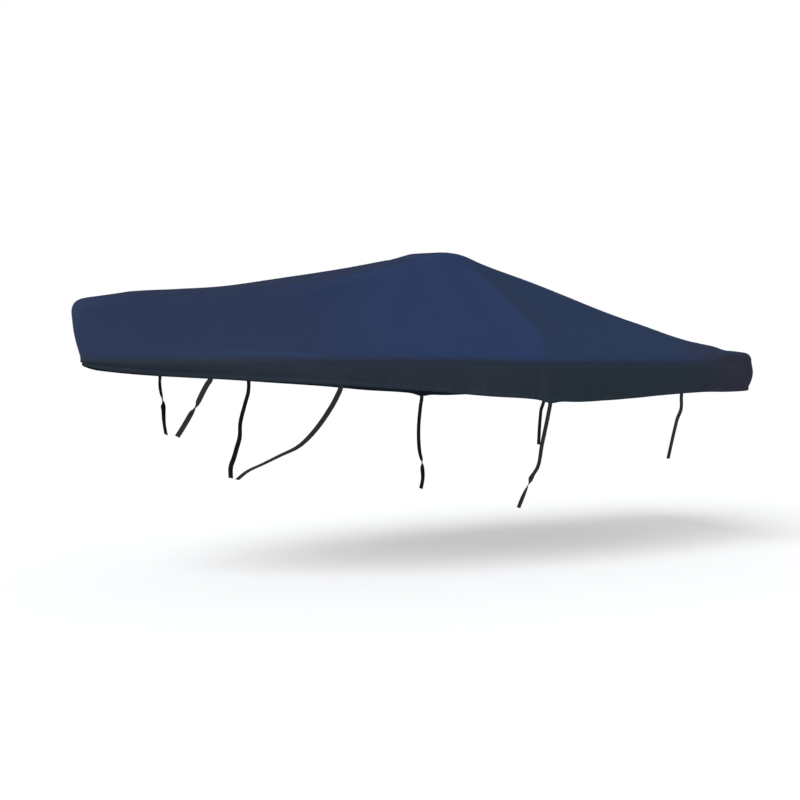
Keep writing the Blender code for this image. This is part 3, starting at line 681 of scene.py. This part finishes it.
def skirt(name, start, end, side, finish):
    """A skirt from one distance along the edge to another.

    It lies on the port side, on the starboard side as its mirror, or on both and so across the stern."""
    distances = np.linspace(start, end, math.ceil((end - start) / SKIRT_STEP) + 1)
    port = np.array([skirt_column(section) for section in skirt_sections(distances)])
    arcs = path_lengths(port)
    uv = np.stack([np.broadcast_to(distances[:, None], arcs.shape), arcs], axis=2)
    far = port * np.array([1.0, -1.0, 1.0])
    if side == "both":
        port[-1, :, 1] = 0.0
        far_uv = uv.copy()
        far_uv[:, :, 0] = 2 * end - uv[:, :, 0]
        grid, grid_uv = np.concatenate([port, far[-2::-1]]), np.concatenate([uv, far_uv[-2::-1]])
    elif side == "port":
        grid, grid_uv = port, uv
    else:
        grid, grid_uv = far[::-1], uv[::-1]
    return grid_object(name, grid[:, ::-1], grid_uv[:, ::-1], False, None, finish)


def stitch_mesh(name, stitches, finish):
    """Small closed stitches, each from a place, the way it runs and the way it faces."""
    verts, faces = [], []
    for centre, way, face in stitches:
        way = way / np.linalg.norm(way)
        across = np.cross(face, way)
        across /= np.linalg.norm(across)
        up = np.cross(way, across)
        base = len(verts)
        low = centre - up * STITCH_PROUD
        for a, b in ((-1, -1), (1, -1), (1, 1), (-1, 1)):
            verts.append(low + way * a * STITCH / 2 + across * b * STITCH_WIDTH / 2)
        for a in (-1, 1):
            verts.append(centre + way * a * STITCH * STITCH_RIDGE + up * STITCH_PROUD)
        faces += [[base + k for k in face_of] for face_of in (
            (3, 2, 1, 0), (0, 1, 5, 4), (2, 3, 4, 5), (1, 2, 5), (3, 0, 4))]
    mesh = bpy.data.meshes.new(name)
    mesh.from_pydata([tuple(v) for v in verts], [], faces)
    mesh.materials.append(finish)
    mesh.update()
    return add(name, mesh)


def stitch_line(depth_of, start, end):
    """Stitches along the port half of the skirt at the depth that depth_of gives for a section."""
    count = int((end - start) / STITCH_PITCH)
    made = []
    for section in skirt_sections(start + STITCH_PITCH * (0.5 + np.arange(count))):
        depth = depth_of(section)
        at = section.point(depth, skirt_relief(section, depth) + CLOTH / 2)
        way = np.array([-section.outward[1], section.outward[0], 0.0])
        made.append((at, way, section.outward))
    return made


def box_stitches(aft):
    """The crossed box of stitches that sews a strap to the skirt, on its face."""
    middle = distance_of(aft)
    half, (low, high) = WEB_WIDTH / 2 - BOX_MARGIN, BOX_REACH
    corners = [(-half, low), (half, low), (half, high), (-half, high)]
    lines = list(zip(corners, corners[1:] + corners[:1]))
    lines += [(corners[0], corners[2]), (corners[1], corners[3])]
    made = []
    for (u0, h0), (u1, h1) in lines:
        length = math.hypot(u1 - u0, h1 - h0)
        count = max(BOX_LEAST, round(length / BOX_PITCH))
        for k in range(count):
            t = (k + 0.5) / count
            section, = skirt_sections([middle + u0 + (u1 - u0) * t])
            depth = section.body - (h0 + (h1 - h0) * t)
            at = section.point(depth, skirt_relief(section, depth) + CLOTH / 2)
            level = np.array([-section.outward[1], section.outward[0], 0.0])
            way = level * (u1 - u0) + np.array([0.0, 0.0, h1 - h0])
            made.append((at, way, section.outward))
    return made


def both_sides(stitches):
    flip = np.array([1.0, -1.0, 1.0])
    return stitches + [(at * flip, way * flip, face * flip) for at, way, face in stitches]


def strap_path(aft, route):
    """Points of a strap's middle from its tuck behind the skirt to its free end, how far its face tips and
    turns at each, and the way the skirt faces where it is sewn on."""
    bed = distance_of(aft)
    beds = skirt_sections([bed - STRAP_BED, bed + STRAP_BED])
    rows = np.array([
        [s.point(depth, swell=0.0) for depth in (LIP + (s.body - LIP) * TUCK_READING, s.body, s.height)]
        for s in beds
    ])
    along = rows[1, -1] - rows[0, -1]
    facing = np.array([along[1], -along[0], 0.0]) / np.linalg.norm(along[:2])
    above, channel, hem = rows.mean(axis=0) - facing * (SOLID_CLOTH / 2 + WEB_CLEAR + WEB_THICK / 2)
    rise, fall = above - channel, hem - channel
    top = channel + rise * min(1.0, (WEB_TUCK - HEM_BAND) / np.linalg.norm(rise))
    below = hem + fall / np.linalg.norm(fall) * WEB_STRAIGHT
    tucked = [top, channel, hem, below]
    points = tucked + [place(row.aft, row.out, row.up) for row in route]
    angles = [(0.0, 0.0)] * len(tucked) + [(row.under, row.turn) for row in route]
    return np.array(points), np.array(angles), facing


def strap(name, number, side, finish):
    """A strap of webbing with round selvedges, swept along its path. Also returns its length."""
    points, angles, facing = strap_path(*STRAPS[number])
    knots = path_lengths(points)
    at = np.linspace(0.0, knots[-1], math.ceil(knots[-1] / WEB_STEP) + 1)
    centres = spline(knots, points, at)
    ways = np.gradient(centres, axis=0)
    runs = path_lengths(centres)
    half, thin = WEB_WIDTH / 2, WEB_SHOWN / 2
    inner, edge = half - SELVEDGE, SELVEDGE_THIN * thin
    outline = [(-half, -edge), (-inner, -thin), (inner, -thin), (half, -edge),
               (half, edge), (inner, thin), (-inner, thin), (-half, edge)]
    mesh = bpy.data.meshes.new(name)
    made = bmesh.new()
    layer = made.loops.layers.uv.new("cloth")
    rings = []
    for centre, way, (under, turn) in zip(centres, ways, spline(knots, angles, at)):
        way = Vector(way).normalized()
        width = way.cross(Vector(facing) + Vector((0.0, 0.0, -under))).normalized()
        width = Quaternion(way, math.radians(turn)) @ width
        face = width.cross(way)
        ring = [Vector(centre) + width * across + face * through for across, through in outline]
        rings.append([made.verts.new((p.x, side * p.y, p.z)) for p in ring])
    count = len(outline)
    for r, (before, after) in enumerate(zip(rings, rings[1:])):
        for i in range(count):
            k = (i + 1) % count
            quad = made.faces.new((before[i], before[k], after[k], after[i]))
            for loop, (column, run) in zip(quad.loops, ((i, r), (k, r), (k, r + 1), (i, r + 1))):
                loop[layer].uv = (outline[column][0] + half, runs[run])
    for ring, run in ((rings[0], 0.0), (rings[-1], runs[-1])):
        cap = made.faces.new(ring)
        for loop, (across, _) in zip(cap.loops, outline):
            loop[layer].uv = (across + half, run)
    bmesh.ops.recalc_face_normals(made, faces=made.faces)
    made.to_mesh(mesh)
    made.free()
    mesh.materials.append(finish)
    mesh.shade_smooth()
    return add(name, mesh), float(runs[-1])


# ---- materials

class Nodes:
    """Short names for the few shader nodes that the materials use."""

    def __init__(self, name):
        self.material = bpy.data.materials.new(name)
        self.material.use_nodes = True
        self.tree = self.material.node_tree
        self.shader = self.tree.nodes["Principled BSDF"]

    def link(self, value, socket):
        if isinstance(value, bpy.types.NodeSocket):
            self.tree.links.new(value, socket)
        else:
            socket.default_value = value

    def node(self, kind, output=0, **inputs):
        made = self.tree.nodes.new(kind)
        for key, value in inputs.items():
            if key.startswith("_"):
                setattr(made, key[1:], value)
            else:
                self.link(value, made.inputs[int(key[1:]) if key[0] == "i" and key[1:].isdigit() else key])
        return made.outputs[output]

    def math(self, operation, a, b=0.0):
        return self.node("ShaderNodeMath", _operation=operation, i0=a, i1=b)

    def noise(self, coordinates, scale, detail=3.0, rough=0.55):
        return self.node(
            "ShaderNodeTexNoise", Vector=coordinates, Scale=scale, Detail=detail, Roughness=rough)

    def mix(self, share, a, b):
        made = self.tree.nodes.new("ShaderNodeMix")
        made.data_type = "RGBA"
        self.link(share, made.inputs["Factor"])
        self.link(a, made.inputs["A"])
        self.link(b, made.inputs["B"])
        return made.outputs["Result"]

    def remap(self, value, span, to, kind="LINEAR"):
        return self.node("ShaderNodeMapRange", _interpolation_type=kind, Value=value, **{
            "From Min": span[0], "From Max": span[1], "To Min": to[0], "To Max": to[1]})

    def spread(self, value, low, high):
        """A noise, from low to high."""
        return self.remap(value, NOISE_SPAN, (low, high))

    def slope(self, value, low, high):
        """From 0 at low to 1 at high, with no corner. low may be the greater."""
        return self.remap(value, (low, high), (0.0, 1.0), "SMOOTHSTEP")

    def shades(self, share, colour, factors):
        """The colour, from its first shade to its second."""
        return self.mix(share, shade(colour, factors[0]), shade(colour, factors[1]))

    def finish(self, **constants):
        """Sets constants of the shader, each by its socket's name with _ for a space."""
        for key, value in constants.items():
            self.shader.inputs[key.replace("_", " ")].default_value = value

    def parts(self, vector):
        made = self.tree.nodes.new("ShaderNodeSeparateXYZ")
        self.link(vector, made.inputs[0])
        return tuple(made.outputs)

    def bump(self, height, distance, normal=None):
        made = self.tree.nodes.new("ShaderNodeBump")
        made.inputs["Strength"].default_value = 1.0
        made.inputs["Distance"].default_value = distance
        self.link(height, made.inputs["Height"])
        if normal is not None:
            self.link(normal, made.inputs["Normal"])
        return made.outputs["Normal"]

    def uv(self):
        made = self.tree.nodes.new("ShaderNodeUVMap")
        made.uv_map = "cloth"
        return self.parts(made.outputs[0])[:2]


def shade(colour, factor):
    return tuple(c * factor for c in colour[:3]) + (1.0,)


Place = namedtuple("Place", "x z level")  # level: the upward share of the cloth's normal


def past_pull(n, at):
    """How far aft of the pull that falls from the peak's corner: it leans aft to its knee, then back."""
    upper = n.math("SUBTRACT", n.math("ADD", at.x, n.math("MULTIPLY", at.z, PULL_LEAN)), PULL_TOP)
    lower = n.math("SUBTRACT", n.math("SUBTRACT", at.x, n.math("MULTIPLY", at.z, PULL_BACK)), PULL_FOOT)
    return n.math("MAXIMUM", upper, lower)


# Where light is painted on the face ahead of the pulls from the peak.
def lit_face_share(n, at):
    fore_of_pull = n.slope(past_pull(n, at), *reversed(PULL_SOFT))
    return n.math("MULTIPLY", n.slope(at.x, *LIT_FACE_ALONG), fore_of_pull)


# Where shade is painted on the face aft of the pulls.
def aft_face_shade_share(n, at):
    return n.slope(past_pull(n, at), *PULL_SOFT)


def fold_highlight(n, at):
    """1 along the soft fold above the turn near the bow, where a highlight is painted."""
    line = n.math("ADD", n.math("ADD", at.z, n.math("MULTIPLY", at.x, FOLD_LEAN)), FOLD_DOWN)
    ends = n.math("MULTIPLY", n.slope(at.x, *FOLD_BOW_END), n.slope(at.x, *FOLD_AFT_END))
    return n.math("MULTIPLY", ends, n.slope(n.math("ABSOLUTE", line), *FOLD_SOFT))


# Where shade is painted on the upward-facing top.
def crown_shade(n, at):
    return n.slope(at.level, *CROWN_LEVEL)


def turn_in_shade(n, at):
    """1 at the foot of the panel, where it turns in and shade is painted. It starts lower in the aft half."""
    lower = n.math("MULTIPLY", n.slope(at.x, *TURN_AFT), TURN_LOWER)
    return n.slope(n.math("ADD", at.z, lower), *TURN_DOWN)


def stern_wall_shade(n, at):
    """1 on the upright cloth round the stern, above its seam, where shade is painted."""
    return n.math("MULTIPLY", n.slope(at.x, *STERN_WALL_ALONG), n.slope(at.level, *STERN_WALL_LEVEL))


# Where the skirt's painted shade gives way to painted light just below the seam.
def skirt_top_light(n, at):
    return n.math("MULTIPLY", n.slope(at.x, *SKIRT_TOP_ALONG), n.slope(at.z, *SKIRT_TOP_DOWN))


def along_skirt(span):
    return lambda n, at: n.slope(at.x, *span)


def cloth_material(name, colour, marks):
    """Coated plain-weave cloth: a fine weave, a faint mottle, and slight wear in its sheen.

    marks are pairs of a colour and a function that gives where the cloth has it; the marks here paint light
    and shade."""
    n = Nodes(name)
    place_at = n.node("ShaderNodeTexCoord", output=3)
    x, _, z = n.parts(place_at)
    at = Place(x, z, n.parts(n.node("ShaderNodeTexCoord", output=1))[2])
    u, v = n.uv()
    warp = n.math("SINE", n.math("MULTIPLY", u, 2 * math.pi / WEAVE_PITCH))
    weft = n.math("SINE", n.math("MULTIPLY", v, 2 * math.pi / WEAVE_PITCH))
    weave = n.math("MULTIPLY", warp, weft)
    dust = n.noise(place_at, *DUST_NOISE)
    base = n.shades(n.spread(n.noise(place_at, *CLOUD), 0.0, 1.0), colour, CLOUD_SHADES)
    for mark, where in marks:
        base = n.mix(where(n, at), base, mark)
    base = n.mix(n.spread(dust, 0.0, DUST_SHARE), base, DUST)
    threads = n.remap(weave, (-1.0, 1.0), (1.0 - WEAVE_SHADE, 1.0 + WEAVE_SHADE))
    base = n.node("ShaderNodeVectorMath", _operation="SCALE", i0=base, Scale=threads)
    n.link(base, n.shader.inputs["Base Color"])
    n.link(n.spread(dust, *CLOTH_ROUGHNESS), n.shader.inputs["Roughness"])
    n.finish(Sheen_Weight=0.015, Sheen_Roughness=0.45, Specular_IOR_Level=0.06)
    crumple = n.bump(n.noise(place_at, *CRUMPLE), CRUMPLE_PROUD)
    n.link(n.bump(weave, WEAVE_PROUD, crumple), n.shader.inputs["Normal"])
    return n.material


def webbing_material():
    """Black webbing: two rows of slanted ribs that meet along its middle."""
    n = Nodes("black_webbing")
    u, v = n.uv()
    off = n.math("ABSOLUTE", n.math("SUBTRACT", u, WEB_WIDTH / 2))
    ribs = n.math("SINE", n.math("MULTIPLY", n.math("ADD", v, off), 2 * math.pi / RIB_PITCH))
    threads = n.math("SINE", n.math("MULTIPLY", u, 2 * math.pi / (RIB_PITCH / 2)))
    both = n.math("ADD", ribs, n.math("MULTIPLY", threads, CROSS_RIBS))
    n.link(n.shades(n.spread(both, 0.0, 1.0), BLACK, RIB_SHADES), n.shader.inputs["Base Color"])
    n.finish(Roughness=0.62, Specular_IOR_Level=0.4)
    n.link(n.bump(both, RIB_PROUD), n.shader.inputs["Normal"])
    return n.material


def thread_material():
    n = Nodes("thread")
    place_at = n.node("ShaderNodeTexCoord", output=3)
    n.link(n.shades(n.noise(place_at, *TWIST), THREAD, TWIST_SHADES), n.shader.inputs["Base Color"])
    n.finish(Roughness=0.5)
    return n.material


def floor_material():
    n = Nodes("pale_floor")
    place_at = n.node("ShaderNodeTexCoord", output=3)
    grain = n.noise(place_at, *FLOOR_GRAIN)
    n.link(n.shades(grain, FLOOR, (1.0, FLOOR_SHADE)), n.shader.inputs["Base Color"])
    n.finish(Roughness=0.9, Specular_IOR_Level=0.1, Emission_Color=GLOW_COLOUR)
    seen = n.node("ShaderNodeLightPath")
    n.link(n.math("MULTIPLY", seen, FLOOR_GLOW), n.shader.inputs["Emission Strength"])
    return n.material


# ---- floor, light and camera

def floor():
    mesh = bpy.data.meshes.new("floor")
    mesh.from_pydata([(-FLOOR_HALF, -FLOOR_HALF, 0), (FLOOR_HALF, -FLOOR_HALF, 0),
                      (FLOOR_HALF, FLOOR_HALF, 0), (-FLOOR_HALF, FLOOR_HALF, 0)], [], [(0, 1, 2, 3)])
    mesh.materials.append(floor_material())
    obj = add("floor", mesh)
    obj.location = (0.0, 0.0, FLOOR_UP)


def sun(name, azimuth, elevation, strength, spread, colour):
    """Soft light from a direction: azimuth in degrees from -Y towards +X, elevation above the horizon."""
    data = bpy.data.lights.new(name, "SUN")
    data.energy, data.angle, data.color = strength, math.radians(spread), colour
    obj = add(name, data)
    a, e = math.radians(azimuth), math.radians(elevation)
    back = Vector((math.sin(a) * math.cos(e), -math.cos(a) * math.cos(e), math.sin(e)))
    obj.rotation_mode = "QUATERNION"
    obj.rotation_quaternion = (-back).to_track_quat("-Z", "Y")


def world():
    made = bpy.data.worlds.new("studio")
    made.use_nodes = True
    tree = made.node_tree
    tree.nodes.clear()
    seen, lit = tree.nodes.new("ShaderNodeBackground"), tree.nodes.new("ShaderNodeBackground")
    seen.inputs["Color"].default_value, seen.inputs["Strength"].default_value = SKY_SEEN, 1.0
    lit.inputs["Color"].default_value, lit.inputs["Strength"].default_value = SKY_LIGHT, SKY_STRENGTH
    path, mix, out = (tree.nodes.new(kind) for kind in (
        "ShaderNodeLightPath", "ShaderNodeMixShader", "ShaderNodeOutputWorld"))
    tree.links.new(path.outputs["Is Camera Ray"], mix.inputs[0])
    tree.links.new(lit.outputs[0], mix.inputs[1])
    tree.links.new(seen.outputs[0], mix.inputs[2])
    tree.links.new(mix.outputs[0], out.inputs[0])
    bpy.context.scene.world = made


def camera():
    data = bpy.data.cameras.new("camera")
    data.lens, data.sensor_width, data.clip_end = CAMERA_LENS, CAMERA_SENSOR, CAMERA_FAR
    obj = add("camera", data)
    obj.location = CAMERA_AT
    obj.rotation_euler = (math.radians(90.0 - CAMERA_PITCH), 0.0, -math.radians(CAMERA_YAW))
    bpy.context.scene.camera = obj


# ---- the scene

def dress(piece, node):
    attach(piece, "root")
    if node:
        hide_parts(node)


camera()
floor()
world()
for light in LIGHTS:
    sun(*light)
bpy.context.scene.view_settings.view_transform = "Standard"

# The top panel's marks are painted light and shade.
cloth = cloth_material("navy_cloth", NAVY, [
    (LIT_FACE_NAVY, lit_face_share), (AFT_FACE_SHADE_NAVY, aft_face_shade_share), (FOLD_HIGHLIGHT_NAVY, fold_highlight), (CROWN_SHADE_NAVY, crown_shade),
    (TURN_SHADE_NAVY, turn_in_shade), (STERN_SHADE_NAVY, stern_wall_shade),
])
# The skirt's colour and its marks are painted shade, lighter just below the seam.
shaded_skirt_cloth = cloth_material("navy_skirt_painted_shade", SHADED_SKIRT_NAVY, [
    (shade(SHADED_SKIRT_NAVY, BOW_SKIRT_SHADE), along_skirt(BOW_SKIRT_ALONG)),
    (AFT_SKIRT_SHADE_NAVY, along_skirt(AFT_SKIRT_ALONG)), (SKIRT_TOP_LIT_NAVY, skirt_top_light),
    (STERN_SHADE_NAVY, along_skirt(STERN_SKIRT_ALONG)),
])
webbing = webbing_material()
thread = thread_material()

seam_at, stern_at = distance_of(SEAM_STERN), float(edge_knots()[-1])
top = top_panel(cloth)
dress(top, "top_panel")
sides = []
for name, start, end, side in (
    ("skirt_port", SEAM_GAP / 2, seam_at - SEAM_GAP / 2, "port"),
    ("skirt_starboard", SEAM_GAP / 2, seam_at - SEAM_GAP / 2, "starboard"),
    ("skirt_stern", seam_at + SEAM_GAP / 2, stern_at, "both"),
):
    sides.append((skirt("cover_" + name, start, end, side, shaded_skirt_cloth), name))
for piece, node in sides:
    dress(piece, node)

stitches = {
    "seam": [s for line in FELL_STITCHES for s in stitch_line(lambda section: line, STITCH_START, stern_at)],
    "hem": stitch_line(lambda section: section.body, STITCH_START, stern_at),
    "straps": [s for aft, _ in STRAPS.values() for s in box_stitches(aft)],
}
stitched = [stitch_mesh("stitches_" + name, both_sides(made), thread) for name, made in stitches.items()]
for piece in stitched:
    dress(piece, None)

for number in STRAPS:
    for name, side in (("port", 1), ("starboard", -1)):
        piece, length = strap("strap_%s_%s_web" % (name, number), number, side, webbing)
        dress(piece, "strap_%s_%s" % (name, number))
